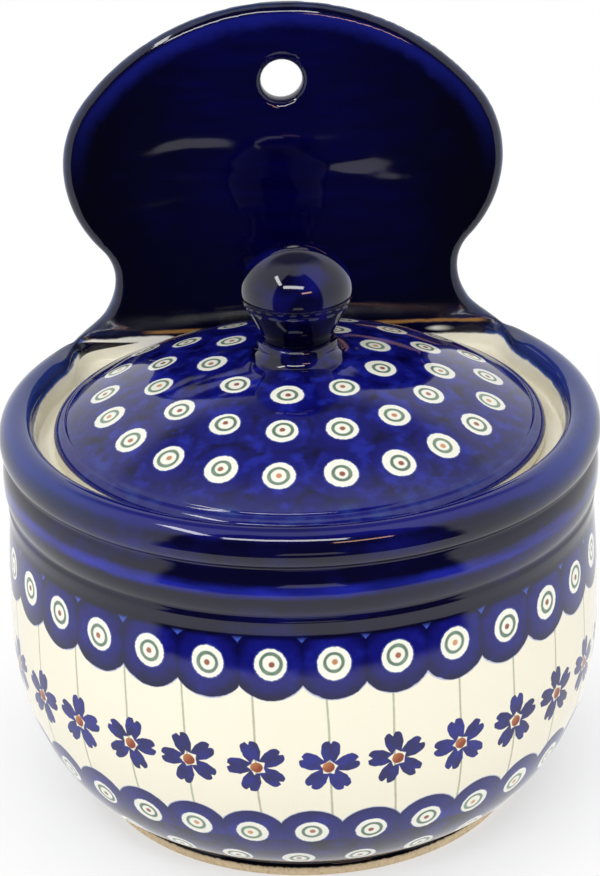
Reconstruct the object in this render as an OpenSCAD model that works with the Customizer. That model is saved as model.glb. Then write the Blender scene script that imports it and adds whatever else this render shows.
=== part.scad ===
// Wall-hanging stoneware salt box: a round pot cut flat at the back, a slab that closes
// the cut and rises as the hanging plate, and a loose domed lid with a knob.
// Millimetres, +Z up. The origin is the middle of the box's footprint, at table height.

/* [Pot] */
// Largest radius of the belly
belly_r = 77.5; // [72:0.5:86]
// Height of the belly's widest level
belly_z = 50; // [44:1:58]
// How far the belly draws in from its widest level to its underside
underside_w = 29.4; // [24:0.2:36]
// Height at which the underside would run level
underside_z = 3; // [1:0.1:3.6]
// Thickness of the pot's wall
wall = 6.3; // [4:0.1:9]
// Height of the inside floor above the table
floor_z = 8; // [6:0.5:14]

/* [Foot] */
// How far the turned foot stays inside the belly's largest radius
foot_in = 21.5; // [18:0.5:26]
// Height of the bare clay band round the foot
foot_h = 2.5; // [1.5:0.1:4]
// Width of the ring that the pot stands on
foot_ring_w = 7.5; // [5:0.5:12]
// Depth of the recess turned inside the foot ring
recess_d = 2.2; // [1:0.1:3.5]
// Height of the cove between the foot and the underside
cove_h = 2.5; // [1.5:0.1:4]
// Depth of the cove behind the foot's edge
cove_d = 2.4; // [1:0.1:4]
// Width of the small bevel under the foot ring
foot_bevel = 0.8; // [0.4:0.1:1.2]

/* [Collar and rim] */
// Height of the lower groove, where the belly ends
collar_z = 86.2; // [80:0.2:94]
// How far the collar band stays inside the belly's largest radius
collar_in = 0.4; // [0:0.1:3]
// Height of the collar band between the two grooves
band_h = 13.4; // [9:0.2:18]
// Depth of both grooves
groove_d = 1.4; // [0.6:0.1:2.4]
// How far the rim stands out beyond the belly's largest radius
rim_out = 0; // [-2:0.5:5]
// Height of the rim above the upper groove
rim_h = 9.4; // [8:0.2:14]
// Height of the rim's widest level above the upper groove
rim_swell = 3.9; // [2.5:0.1:5]
// Thickness of the rim
rim_t = 9.5; // [7:0.1:12]

/* [Lid seat] */
// Depth of the seat below the top of the rim
seat_d = 9; // [7:0.2:12]
// Width of the seat, from the rim's bore inwards
seat_w = 11; // [8:0.5:14]
// Thickness of the seat at its inner edge
seat_t = 5; // [3:0.2:7]
// Height of the sloped web that carries the seat
seat_web_h = 11; // [7:0.5:15]

/* [Back plate] */
// Depth of the flat cut at the back, from the belly's largest radius to the front of the slab
cut_d = 26.5; // [23:0.5:28]
// Thickness of the slab
slab_t = 9; // [6:0.2:12]
// Height of the top of the plate
plate_top = 198; // [188:1:210]
// Half of the plate's largest width
plate_half_w = 59; // [54:0.5:63]
// Radius of the plate's crown
crown_r = 67; // [64:0.5:72]
// Radius of the plate's shoulders
shoulder_r = 30; // [27:0.5:32]
// Half of the plate's width at its neck
neck_half_w = 46.5; // [43:0.5:49]
// Height of the neck
neck_z = 123; // [120:0.5:126]
// Radius of the hollow at the neck
neck_r = 12; // [9:0.5:15]
// Radius of the flare from the neck down to the rim
flare_r = 17; // [13.5:0.5:20]
// Rounding of the plate's edges
edge_r = 3.6; // [1.5:0.1:4.5]
// Distance from the top of the plate down to the middle of the hanging hole
hole_drop = 21; // [14:0.5:30]
// Radius of the hanging hole
hole_r = 5.5; // [3.5:0.1:7]

/* [Lid] */
// Gap between the lid and the bore of the rim
lid_clear = 4.5; // [1.5:0.1:6]
// Gap between the lid's flat back and the slab
lid_back_clear = 1.5; // [0.8:0.1:3]
// Height of the dome's apex above the seat
dome_h = 22.5; // [18:0.5:30]
// Height of the dome's edge above the seat
lid_edge_h = 6.2; // [5:0.1:8]
// Width of the bead round the lid
bead_w = 3.2; // [2:0.1:5]
// Depth of the crease between the dome and the bead
crease_d = 0.5; // [0.2:0.1:1]
// Thickness of the dome
lid_t = 6; // [4:0.1:8]
// Gap between the lid's locating flange and the seat
flange_clear = 1.5; // [0.5:0.1:3]
// Thickness of the locating flange
flange_t = 4.5; // [3:0.1:6]
// Depth of the locating flange below the seat
flange_h = 8; // [4:0.5:12]

/* [Knob] */
// Radius of the boss that carries the knob
boss_r = 10.3; // [9.6:0.1:13]
// Height of the boss above the dome's apex
boss_h = 4.5; // [3.4:0.1:7]
// Radius of the fillet's foot on the dome
boss_foot_r = 15; // [13.5:0.5:20]
// Rounding of the boss's shoulder
boss_round = 1.3; // [0.6:0.1:1.6]
// Radius of the knob's neck
knob_neck_r = 8.7; // [6:0.1:8.9]
// Largest radius of the knob
knob_r = 14.3; // [11:0.1:18]
// Height from the boss to the knob's crease
knob_crease_h = 9.6; // [7:0.1:13]
// Height from the crease to the knob's widest level
knob_swell_h = 3.4; // [2:0.1:6]
// Height of the knob's cap above its widest level
knob_cap_h = 9.3; // [6:0.1:14]
// How far the crease stays inside the knob's largest radius
knob_crease_in = 0.7; // [0.3:0.1:1.5]

/* [Hidden] */
$fn = 96;

// Steps in one quarter turn of a profile's curves
quarter_steps = 8;
// Steps along the long gentle curves and along each arc of the plate
arc_steps = 8;
// Steps across a rounded edge of the plate
edge_steps = 3;
// Fullness of the collar band: 2 is an ellipse, more is squarer
band_power = 2.6;
// Slope of the knob's flank just above its neck
knob_waist_h = 1.2;
// Narrowest strip that the slab is drawn with where the foot runs out
slab_edge = 0.6;
// Room for cuts that pass right through
past = 20;

// Levels of the pot
foot_r = belly_r - foot_in;
collar_r = belly_r - collar_in;
groove_r = collar_r - groove_d;
rim_r = belly_r + rim_out;
rim_z = collar_z + band_h;
rim_top = rim_z + rim_h;
rim_mid_z = rim_z + rim_swell;
rim_bore_r = rim_r - rim_t;
rim_crest_r = rim_r - rim_t / 2;
seat_z = rim_top - seat_d;
seat_r = rim_bore_r - seat_w;
web_z = seat_z - seat_t - seat_web_h;

// The belly's lower curve is part of an ellipse, its upper curve an arc of a large circle
underside_r = belly_r - underside_w;
underside_h = belly_z - underside_z;
cove_top_z = foot_h + cove_h;
belly_rise = collar_z - belly_z;
belly_in = collar_in + groove_d;
belly_arc_r = (belly_rise * belly_rise + belly_in * belly_in) / (2 * belly_in);

// The slab, and the frame's offset from the pot's axis
slab_y = belly_r - cut_d;
slab_back_y = slab_y + slab_t;
widest_r = max(belly_r, rim_r);
axis_y = (widest_r - slab_back_y) / 2;
plate_round = min(edge_r, 0.45 * slab_t);

// Centres of the plate's arcs, each tangent to the next
hole_z = plate_top - hole_drop;
crown_z = plate_top - crown_r;
shoulder_x = plate_half_w - shoulder_r;
shoulder_z = crown_z + sqrt(pow(crown_r - shoulder_r, 2) - pow(shoulder_x, 2));
shoulder_angle = atan2(shoulder_z - crown_z, shoulder_x);
neck_x = neck_half_w + neck_r;
neck_to_side = neck_x - plate_half_w;
neck_to_lobe = shoulder_z - neck_z;
lobe_r = (pow(neck_to_side, 2) + pow(neck_to_lobe, 2) - pow(neck_r, 2))
    / (2 * (neck_r - neck_to_side));
lobe_x = plate_half_w - lobe_r;
lobe_angle = atan2(neck_z - shoulder_z, neck_x - lobe_x);
flare_x = neck_half_w + flare_r;

// Levels of the lid and the knob
lid_r = rim_bore_r - lid_clear;
bead_r = lid_r - bead_w;
flange_r = seat_r - flange_clear;
dome_z = seat_z + dome_h;
dome_rise = dome_h - lid_edge_h;
dome_r = (bead_r * bead_r + dome_rise * dome_rise) / (2 * dome_rise);
lid_back_y = slab_y - lid_back_clear;
boss_top = dome_z + boss_h;
crease_z = boss_top + knob_crease_h;
knob_mid_z = crease_z + knob_swell_h;

// Points on an ellipse from one angle to another, about a centre
function ellipse_points(centre, rx, rz, from, to, steps) = [
    for (i = [0 : steps])
        let (a = from + (to - from) * i / steps)
        [centre[0] + rx * cos(a), centre[1] + rz * sin(a)]
];

// Points on a curve that leaves one point and reaches another towards a shared corner
function bend_points(start, corner, end, steps) = [
    for (i = [0 : steps])
        let (t = i / steps)
        (1 - t) * (1 - t) * start + 2 * t * (1 - t) * corner + t * t * end
];

// Radius of the belly's upper curve at a height
function belly_at(z) = belly_r - belly_arc_r + sqrt(pow(belly_arc_r, 2) - pow(z - belly_z, 2));

// Height of the dome's outside at a radius
function dome_at(r) = dome_z - dome_r + sqrt(dome_r * dome_r - r * r);

// Height of the dome's inside at a radius
function dome_inside_at(r) = dome_z - dome_r + sqrt(pow(dome_r - lid_t, 2) - r * r);

// Outside of the foot, from the bevel under it to the top of the cove
function foot_points() =
    let (
        reach = asin((belly_z - cove_top_z) / underside_h),
        top = [underside_r + underside_w * cos(reach), cove_top_z],
        edge = [foot_r, foot_h],
        corner = [foot_r - cove_d, foot_h + cove_h / 2]
    )
    concat(
        [[foot_r - foot_bevel, 0], [foot_r, foot_bevel]],
        bend_points(edge, corner, top, quarter_steps / 2)
    );

// Outside of the belly, from the cove to the lower groove
function belly_points() =
    let (reach = asin((belly_z - cove_top_z) / underside_h))
    concat(
        [
            for (i = [1 : 2 * quarter_steps])
                let (a = reach * (1 - i / (2 * quarter_steps)))
                [underside_r + underside_w * cos(a), belly_z - underside_h * sin(a)]
        ],
        [
            for (i = [1 : arc_steps])
                let (z = belly_z + belly_rise * i / arc_steps)
                [belly_at(z), z]
        ]
    );

// Outside of the collar band, between the grooves
function band_points() = [
    for (i = [1 : 2 * quarter_steps])
        let (u = i / quarter_steps - 1)
        [collar_r - groove_d * pow(abs(u), band_power), collar_z + band_h * (u + 1) / 2]
];

// Outside of the rim from the upper groove to its widest level
function swell_points() = [
    for (i = [1 : quarter_steps])
        let (a = 90 * (i / quarter_steps - 1))
        [groove_r + (rim_r - groove_r) * cos(a), rim_mid_z + rim_swell * sin(a)]
];

// The pot's whole side, from the foot to the rim's widest level
function side_points() = concat(foot_points(), belly_points(), band_points(), swell_points());

// The rounded top of the rim, between two angles about its middle
function lip_points(from, to) = [
    for (i = [1 : quarter_steps])
        let (a = from + (to - from) * i / quarter_steps)
        [rim_crest_r + rim_t / 2 * cos(a), rim_mid_z + (rim_top - rim_mid_z) * sin(a)]
];

// The inside, from the crest of the rim over the seat to the middle of the floor
function inner_points() =
    let (
        web_r = belly_at(web_z) - wall,
        bowl = ellipse_points(
            [underside_r, belly_z], underside_w - wall, belly_z - floor_z, 0, -90, 2 * quarter_steps)
    )
    concat(
        lip_points(90, 180),
        [[rim_bore_r, seat_z], [seat_r, seat_z], [seat_r, seat_z - seat_t], [web_r, web_z]],
        [
            for (i = [1 : arc_steps - 1])
                let (z = web_z + (belly_z - web_z) * i / arc_steps)
                [belly_at(z) - wall, z]
        ],
        bowl,
        [[0, floor_z]]
    );

// The recess under the floor, from the axis to the foot ring
function recess_points() = [
    [0, recess_d],
    [foot_r - foot_ring_w - recess_d, recess_d],
    [foot_r - foot_ring_w, 0]
];

// Inset and depth of each layer of the slab, from its front face to its back face
function slab_layers() = concat(
    [
        for (i = [0 : edge_steps])
            let (a = 90 * i / edge_steps)
            [plate_round * (1 - sin(a)), slab_y + plate_round * (1 - cos(a))]
    ],
    [
        for (i = [edge_steps : -1 : 0])
            let (a = 90 * i / edge_steps)
            [plate_round * (1 - sin(a)), slab_back_y - plate_round * (1 - cos(a))]
    ]
);

// Points on an arc after its first one, in a plane across the box
function arc_after(x, z, r, from, to, y) = [
    for (i = [1 : arc_steps])
        let (a = from + (to - from) * i / arc_steps)
        [x + r * cos(a), y, z + r * sin(a)]
];

// Right half of one layer below the rim's widest level, where the slab carries on the pot's side
function layer_below(y) = [
    for (p = side_points())
        if (p[0] > slab_y + slab_edge)
            let (
                back = min(slab_back_y, sqrt(p[0] * p[0] - slab_edge * slab_edge)),
                depth = slab_y + (back - slab_y) * (y - slab_y) / slab_t
            )
            [sqrt(p[0] * p[0] - depth * depth), depth, p[1]]
];

// Right half of the flare from the rim to the neck, where the edge's rounding fades in
function layer_flare(inset, y) =
    let (
        rim_x = sqrt(rim_r * rim_r - y * y),
        start = acos(min((flare_x - rim_x) / flare_r, cos(arc_steps)))
    )
    [
        for (i = [0 : arc_steps])
            let (
                u = i / arc_steps,
                a = start * (1 - u),
                r = flare_r + inset * u * u * (3 - 2 * u)
            )
            [flare_x - r * cos(a), y, neck_z - r * sin(a)]
    ];

// Right half of one layer from the neck over the lobe and the shoulder to the top of the crown
function layer_above(inset, y) = concat(
    arc_after(neck_x, neck_z, neck_r + inset, 180, 180 + lobe_angle, y),
    arc_after(lobe_x, shoulder_z, lobe_r - inset, lobe_angle, 0, y),
    arc_after(shoulder_x, shoulder_z, shoulder_r - inset, 0, shoulder_angle, y),
    arc_after(0, crown_z, crown_r - inset, shoulder_angle, 90, y)
);

// One whole layer of the slab: up its right side, over the crown and down its left side
function slab_layer(inset, y) =
    let (
        half = concat(layer_below(y), layer_flare(inset, y), layer_above(inset, y)),
        last = len(half) - 1
    )
    concat(half, [for (i = [last - 1 : -1 : 0]) [-half[i][0], half[i][1], half[i][2]]]);

// Puts what is modelled about the pot's axis into the frame
module about_axis() {
    translate([0, axis_y, 0])
        children();
}

// Everything in front of a plane across the box
module in_front_of(y) {
    intersection() {
        children();
        translate([-widest_r - past, y - 2 * widest_r - past, -past])
            cube([2 * (widest_r + past), 2 * widest_r + past, plate_top + 2 * past]);
    }
}

// The slab as one closed skin over its layers
module slab_body() {
    layers = slab_layers();
    rings = [for (layer = layers) slab_layer(layer[0], layer[1])];
    count = len(rings[0]);
    half = (count - 1) / 2;
    last = (len(layers) - 1) * count;
    sides = [
        for (j = [0 : len(layers) - 2])
            for (i = [0 : count - 2])
                let (a = j * count + i, b = a + count)
                each [[a, a + 1, b + 1], [a, b + 1, b]]
    ];
    strips = [
        for (i = [0 : half - 2])
            let (k = count - 1 - i)
            each [
                [i, k, k - 1], [i, k - 1, i + 1],
                [last + i, last + i + 1, last + k - 1], [last + i, last + k - 1, last + k]
            ]
    ];
    tops = [[half - 1, half + 1, half], [last + half - 1, last + half, last + half + 1]];
    bottom = [
        concat(
            [for (j = [0 : len(layers) - 1]) j * count],
            [for (j = [len(layers) - 1 : -1 : 0]) j * count + count - 1])
    ];
    polyhedron(
        points = [for (ring = rings) each ring],
        faces = concat(sides, strips, tops, bottom),
        convexity = 8);
}

module pot() {
    color("ivory")
        about_axis()
            in_front_of(slab_y)
                rotate_extrude()
                    polygon(concat(recess_points(), side_points(), lip_points(0, 90), inner_points()));
}

module back_plate() {
    color("midnightblue")
        about_axis()
            difference() {
                slab_body();
                translate([0, slab_y - past, hole_z])
                    rotate([-90, 0, 0])
                        cylinder(r = hole_r, h = slab_t + 2 * past);
            }
}

// Outline of the lid from its axis over the dome, the bead and the flange
function lid_points() =
    let (
        boss = bend_points(
            [boss_r, boss_top - boss_round], [boss_r, dome_at(boss_r)],
            [boss_foot_r, dome_at(boss_foot_r)], quarter_steps),
        bead_top = dome_at(bead_r) - crease_d,
        bead_h = (bead_top - seat_z) / 2,
        flange_in_r = flange_r - flange_t
    )
    concat(
        [[0, boss_top]],
        ellipse_points(
            [boss_r - boss_round, boss_top - boss_round], boss_round, boss_round, 90, 0, quarter_steps / 2),
        [for (i = [1 : quarter_steps]) boss[i]],
        [
            for (i = [1 : 2 * arc_steps])
                let (r = boss_foot_r + (bead_r - boss_foot_r) * i / (2 * arc_steps))
                [r, dome_at(r)]
        ],
        ellipse_points([bead_r, seat_z + bead_h], bead_w, bead_h, 90, 0, quarter_steps),
        [[lid_r, seat_z + foot_bevel], [lid_r - foot_bevel, seat_z], [flange_r, seat_z]],
        ellipse_points(
            [flange_r - flange_t / 2, seat_z - flange_h + flange_t / 2], flange_t / 2, flange_t / 2,
            0, -180, quarter_steps),
        [
            for (i = [0 : 2 * arc_steps])
                let (r = flange_in_r * (1 - i / (2 * arc_steps)))
                [r, dome_inside_at(r)]
        ]
    );

module lid() {
    color("mediumblue")
        about_axis()
            in_front_of(lid_back_y)
                rotate_extrude()
                    polygon(lid_points());
}

// Outline of the knob: a waist, a flank that widens to a crease, and a round cap
function knob_points() =
    let (
        crease_r = knob_r - knob_crease_in,
        swell_a = acos(crease_r / knob_r),
        swell_rz = knob_swell_h / sin(swell_a)
    )
    concat(
        [[0, boss_top]],
        bend_points(
            [knob_neck_r, boss_top], [knob_neck_r, boss_top + knob_waist_h],
            [crease_r, crease_z], quarter_steps),
        [
            for (i = [1 : quarter_steps / 2])
                let (a = swell_a * (i / (quarter_steps / 2) - 1))
                [knob_r * cos(a), knob_mid_z + swell_rz * sin(a)]
        ],
        [
            for (i = [1 : quarter_steps])
                let (a = 90 * i / quarter_steps)
                [knob_r * cos(a), knob_mid_z + knob_cap_h * sin(a)]
        ]
    );

module knob() {
    color("navy")
        about_axis()
            rotate_extrude()
                polygon(knob_points());
}

pot();
back_plate();
lid();
knob();
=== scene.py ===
"""Looks of a hanging salt box: a glazed crock with its plate, a loose domed lid and a knob."""
import math

import bpy
import numpy as np
from mathutils import Matrix, Vector


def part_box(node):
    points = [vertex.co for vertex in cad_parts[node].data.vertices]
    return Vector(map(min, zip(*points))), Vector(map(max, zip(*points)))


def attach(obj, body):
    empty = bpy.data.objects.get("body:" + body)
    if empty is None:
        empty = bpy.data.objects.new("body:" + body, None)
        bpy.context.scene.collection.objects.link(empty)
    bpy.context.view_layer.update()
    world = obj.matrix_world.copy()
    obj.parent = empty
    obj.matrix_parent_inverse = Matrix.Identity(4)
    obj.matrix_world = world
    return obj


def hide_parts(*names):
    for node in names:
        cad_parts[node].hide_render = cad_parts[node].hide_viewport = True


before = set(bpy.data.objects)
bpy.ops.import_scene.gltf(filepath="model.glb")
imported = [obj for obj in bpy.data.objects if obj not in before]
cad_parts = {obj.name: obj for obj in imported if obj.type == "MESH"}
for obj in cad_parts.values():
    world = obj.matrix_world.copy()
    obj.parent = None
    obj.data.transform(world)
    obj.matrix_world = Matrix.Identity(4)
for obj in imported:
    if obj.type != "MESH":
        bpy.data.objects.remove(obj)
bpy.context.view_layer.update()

# Metres in a millimetre: sizes are millimetres about the pot's axis where no other unit is named
MM = 0.001

# Sizes that the frame gives
pot_low, pot_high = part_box("pot")
_, plate_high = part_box("back_plate")
lid_low, lid_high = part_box("lid")
knob_low, knob_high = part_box("knob")
BELLY_R = (pot_high.x - pot_low.x) / 2 / MM
AXIS_Y = pot_low.y / MM + BELLY_R
SLAB_Y = pot_high.y / MM - AXIS_Y
BACK_Y = plate_high.y / MM - AXIS_Y
PLATE_TOP = plate_high.z / MM
LID_BACK_Y = lid_high.y / MM - AXIS_Y
LID_R = (lid_high.x - lid_low.x) / 2 / MM
BOSS_TOP = knob_low.z / MM
KNOB_TOP = knob_high.z / MM
KNOB_R = (knob_high.x - knob_low.x) / 2 / MM

# Small bevel under the foot ring and under the lid's edge
BEVEL = 0.8

# Belly and foot
BELLY_Z = 50
UNDERSIDE_W = 29.4
UNDERSIDE_Z = 3
WALL = 6.3
FLOOR_Z = 8
FOOT_R = 56
FOOT_H = 2.5
FOOT_RING_W = 7.5
RECESS_D = 2.2
COVE_H = 2.5
COVE_D = 2.4

# Collar, rim and lid seat
COLLAR_Z = 86.2
SHOULDER_Z = 82.0
SHOULDER_OUT = 0.2
SHOULDER_ROUND = 0.9
SHOULDER_LIP = 0.2
COLLAR_R = 77.1
BAND_H = 13.4
BAND_POWER = 2.6
GROOVE_R = 75.7
RIM_Z = COLLAR_Z + BAND_H
RIM_MID_Z = RIM_Z + 3.9
RIM_TOP = RIM_Z + 9.4
RIM_T = 9.5
RIM_CREST_R = BELLY_R - RIM_T / 2
BORE_R = BELLY_R - RIM_T
SEAT_Z = RIM_TOP - 9
SEAT_R = BORE_R - 11
SEAT_T = 5
WEB_H = 11

# Hanging plate
CROWN_R = 67
SHOULDER_R = 30
PLATE_HALF_W = 59
NECK_HALF_W = 46.5
NECK_Z = 123
NECK_R = 12
FLARE_R = 17
FLARE_TOP = NECK_Z - 6
EDGE_R = 3.6
HOLE_Z = PLATE_TOP - 21
HOLE_R = 5.5

# Lid and knob
BEAD_W = 3.2
LID_EDGE_H = 6.2
LID_T = 6
DOME_Z = BOSS_TOP - 4.5
CREASE_D = 0.5
FLANGE_R = SEAT_R - 1.5
FLANGE_T = 4.5
FLANGE_H = 8
BOSS_R = 10.3
BOSS_FOOT_R = 15
BOSS_ROUND = 1.3
KNOB_NECK_R = 8.7
KNOB_CREASE_Z = BOSS_TOP + 9.6
KNOB_CREASE_R = KNOB_R - 0.7
KNOB_MID_Z = KNOB_CREASE_Z + 3.4
KNOB_WAIST_H = 1.2
# How much higher the knob's cap stands than its solid
KNOB_CROWN = 2.3
KNOB_APEX = KNOB_TOP + KNOB_CROWN

# Steps in one curve of an outline, and in the small ones
CURVE_STEPS = 24
FLANGE_STEPS = 12
ROUND_STEPS = 8
SHOULDER_STEPS = 6


def arc(centre, across, up, start, end, steps=CURVE_STEPS):
    """Points on an ellipse about a centre, from one angle in degrees to another."""
    a = np.radians(np.linspace(start, end, steps + 1))
    return np.stack([centre[0] + across * np.cos(a), centre[1] + up * np.sin(a)], 1)


def bend(start, corner, end, steps=CURVE_STEPS):
    """Points on a curve that leaves one point and reaches another towards a shared corner."""
    t = np.linspace(0, 1, steps + 1)[:, None]
    start, corner, end = np.array(start), np.array(corner), np.array(end)
    return (1 - t) ** 2 * start + 2 * t * (1 - t) * corner + t * t * end


def belly_at(z):
    """Radius of the belly's upper curve at a height."""
    rise = COLLAR_Z - BELLY_Z
    draw_in = BELLY_R - GROOVE_R
    big_r = (rise * rise + draw_in * draw_in) / (2 * draw_in)
    return BELLY_R - big_r + np.sqrt(big_r * big_r - (z - BELLY_Z) ** 2)


def outside_path():
    """The pot's outside, filled: from the middle of its underside round to the top of its rim."""
    centre = (BELLY_R - UNDERSIDE_W, BELLY_Z)
    reach = math.degrees(math.asin((BELLY_Z - FOOT_H - COVE_H) / (BELLY_Z - UNDERSIDE_Z)))
    belly = arc(centre, UNDERSIDE_W, BELLY_Z - UNDERSIDE_Z, -reach, 0, 3 * CURVE_STEPS)
    upper_z = np.linspace(BELLY_Z, SHOULDER_Z, CURVE_STEPS)[1:]
    shoulder_r = float(belly_at(SHOULDER_Z)) + SHOULDER_OUT
    shoulder = (shoulder_r, COLLAR_Z - SHOULDER_ROUND)
    lip = (shoulder_r, COLLAR_Z - SHOULDER_LIP)
    u = np.linspace(-1, 1, 2 * CURVE_STEPS)[1:]
    band_r = COLLAR_R - (COLLAR_R - GROOVE_R) * np.abs(u) ** BAND_POWER
    ring_in = FOOT_R - FOOT_RING_W
    return np.concatenate([
        [(0, RECESS_D), (ring_in - RECESS_D, RECESS_D), (ring_in, 0)],
        [(FOOT_R - BEVEL, 0), (FOOT_R, BEVEL)],
        bend((FOOT_R, FOOT_H), (FOOT_R - COVE_D, FOOT_H + COVE_H / 2), belly[0]),
        belly[1:],
        np.stack([belly_at(upper_z), upper_z], 1),
        bend(shoulder, lip, (GROOVE_R, COLLAR_Z), SHOULDER_STEPS),
        np.stack([band_r, COLLAR_Z + BAND_H * (u + 1) / 2], 1),
        arc((GROOVE_R, RIM_MID_Z), BELLY_R - GROOVE_R, RIM_MID_Z - RIM_Z, -90, 0),
        arc((RIM_CREST_R, RIM_MID_Z), RIM_T / 2, RIM_TOP - RIM_MID_Z, 0, 90),
        [(0, RIM_TOP)],
    ])


def inside_path():
    """The pot's hollow: from the middle of its floor over the seat to the rim, and open upwards."""
    web_z = SEAT_Z - SEAT_T - WEB_H
    wall_z = np.linspace(BELLY_Z, web_z, CURVE_STEPS)
    bowl_centre = (BELLY_R - UNDERSIDE_W, BELLY_Z)
    return np.concatenate([
        [(0, FLOOR_Z)],
        arc(bowl_centre, UNDERSIDE_W - WALL, BELLY_Z - FLOOR_Z, -90, 0, 2 * CURVE_STEPS),
        np.stack([belly_at(wall_z) - WALL, wall_z], 1),
        [(SEAT_R, SEAT_Z - SEAT_T), (SEAT_R, SEAT_Z), (BORE_R, SEAT_Z)],
        arc((RIM_CREST_R, RIM_MID_Z), RIM_T / 2, RIM_TOP - RIM_MID_Z, 180, 90),
        [(RIM_CREST_R, PLATE_TOP), (0, PLATE_TOP)],
    ])


def plate_path():
    """Right half of the plate's outline: crown, shoulder, lobe, neck and flare, down into the slab."""
    crown_z = PLATE_TOP - CROWN_R
    shoulder_x = PLATE_HALF_W - SHOULDER_R
    shoulder_z = crown_z + math.sqrt((CROWN_R - SHOULDER_R) ** 2 - shoulder_x ** 2)
    turn = math.degrees(math.atan2(shoulder_z - crown_z, shoulder_x))
    neck_x = NECK_HALF_W + NECK_R
    over = neck_x - PLATE_HALF_W
    drop = shoulder_z - NECK_Z
    lobe_r = (over ** 2 + drop ** 2 - NECK_R ** 2) / (2 * (NECK_R - over))
    lobe_x = PLATE_HALF_W - lobe_r
    lean = math.degrees(math.atan2(NECK_Z - shoulder_z, neck_x - lobe_x))
    flare_x = NECK_HALF_W + FLARE_R
    return np.concatenate([
        arc((0, crown_z), CROWN_R, CROWN_R, 90, turn, 2 * CURVE_STEPS),
        arc((shoulder_x, shoulder_z), SHOULDER_R, SHOULDER_R, turn, 0)[1:],
        arc((lobe_x, shoulder_z), lobe_r, lobe_r, 0, lean)[1:],
        arc((neck_x, NECK_Z), NECK_R, NECK_R, 180 + lean, 180)[1:],
        arc((flare_x, NECK_Z), FLARE_R, FLARE_R, 180, 270)[1:],
        [(flare_x, RIM_MID_Z), (0, RIM_MID_Z)],
    ])


def dome(r, sink=0.0):
    """Height of the lid's dome at a radius, or of a shell that lies inside it."""
    bead_r = LID_R - BEAD_W
    rise = DOME_Z - SEAT_Z - LID_EDGE_H
    big_r = (bead_r ** 2 + rise ** 2) / (2 * rise)
    return DOME_Z - big_r + np.sqrt((big_r - sink) ** 2 - np.asarray(r, float) ** 2)


def lid_path():
    """Half of the lid: boss, dome, bead, seat, flange and hollow underside."""
    bead_r = LID_R - BEAD_W
    bead_h = (float(dome(bead_r)) - CREASE_D - SEAT_Z) / 2
    dome_r = np.linspace(BOSS_FOOT_R, bead_r, 2 * CURVE_STEPS)[1:]
    hollow_r = np.linspace(FLANGE_R - FLANGE_T, 0, 2 * CURVE_STEPS)
    foot = (BOSS_FOOT_R, float(dome(BOSS_FOOT_R)))
    flange_round = FLANGE_T / 2
    flange_mid = (FLANGE_R - flange_round, SEAT_Z - FLANGE_H + flange_round)
    return np.concatenate([
        [(0, BOSS_TOP)],
        arc((BOSS_R - BOSS_ROUND, BOSS_TOP - BOSS_ROUND), BOSS_ROUND, BOSS_ROUND, 90, 0, ROUND_STEPS),
        bend((BOSS_R, BOSS_TOP - BOSS_ROUND), (BOSS_R, float(dome(BOSS_R))), foot)[1:],
        np.stack([dome_r, dome(dome_r)], 1),
        arc((bead_r, SEAT_Z + bead_h), BEAD_W, bead_h, 90, 0),
        [(LID_R, SEAT_Z + BEVEL), (LID_R - BEVEL, SEAT_Z), (FLANGE_R, SEAT_Z)],
        arc(flange_mid, flange_round, flange_round, 0, -180, FLANGE_STEPS),
        np.stack([hollow_r, dome(hollow_r, sink=LID_T)], 1),
    ])


def knob_path():
    """Half of the knob: waist, flank, crease and round cap."""
    swell = math.acos(KNOB_CREASE_R / KNOB_R)
    swell_h = (KNOB_MID_Z - KNOB_CREASE_Z) / math.sin(swell)
    waist = (KNOB_NECK_R, BOSS_TOP + KNOB_WAIST_H)
    return np.concatenate([
        [(0, BOSS_TOP)],
        bend((KNOB_NECK_R, BOSS_TOP), waist, (KNOB_CREASE_R, KNOB_CREASE_Z)),
        arc((0, KNOB_MID_Z), KNOB_R, swell_h, -math.degrees(swell), 0, ROUND_STEPS)[1:],
        arc((0, KNOB_MID_Z), KNOB_R, KNOB_APEX - KNOB_MID_Z, 0, 90, 2 * CURVE_STEPS)[1:],
    ])


# Distance tables: how far they reach from the axis, the room below and above a shape, and their steps
POT_REACH = 92
POT_ROOM = 6
POT_STEP = 0.4
LID_REACH = 70
LID_ROOM = 6
LID_STEP = 0.25
KNOB_REACH = 20
KNOB_ROOM = 4
KNOB_STEP = 0.2
# Keeps a reading inside a table's last entry
LAST_ENTRY = 1.001


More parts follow.
